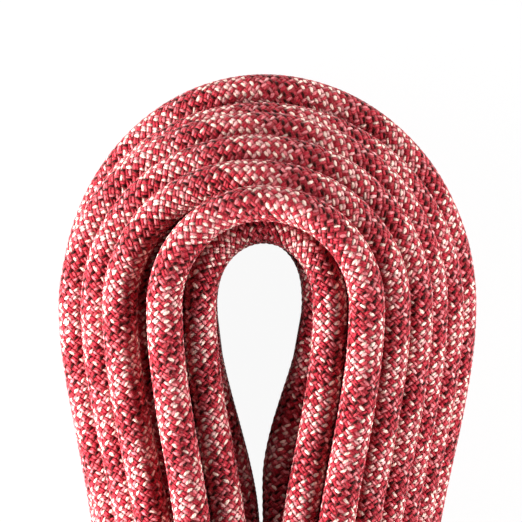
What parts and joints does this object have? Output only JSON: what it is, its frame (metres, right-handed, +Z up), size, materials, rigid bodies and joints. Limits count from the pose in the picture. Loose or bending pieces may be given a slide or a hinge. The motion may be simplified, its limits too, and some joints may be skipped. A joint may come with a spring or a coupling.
{
  "type": "dynamic climbing rope",
  "caption": "Kernmantle dynamic climbing rope put up as a flat hank with two lobes, a wrapped waist and two sleeved ends.",
  "frame": {"origin": "centre of the surface that the hank lies on", "axes": "+Y along the hank towards its open lobe, +Z up from the surface, +X across the hank"},
  "size_m": [0.1222, 0.4948, 0.0936],
  "materials": {
    "sheath": "braided nylon, crimson with pink, cream and dark flecks",
    "sheath_inner": "braided nylon in shade",
    "core_yarn": "twisted white nylon yarn",
    "sleeve": "heat-shrunk satin black",
    "fused_tip": "melted nylon"
  },
  "bodies": {
    "root": {"hank_loops": "sheath", "inner_loops": "sheath_inner", "waist_wraps": "sheath", "tail_a": "sheath", "tail_b": "sheath", "sheath_end_a": "sheath", "sheath_end_b": "sheath", "core_strands_a": "core_yarn", "core_strands_b": "core_yarn", "end_sleeve_a": "sleeve", "end_sleeve_b": "sleeve", "fused_tip_a": "fused_tip", "fused_tip_b": "fused_tip"}
  },
  "joints": []
}
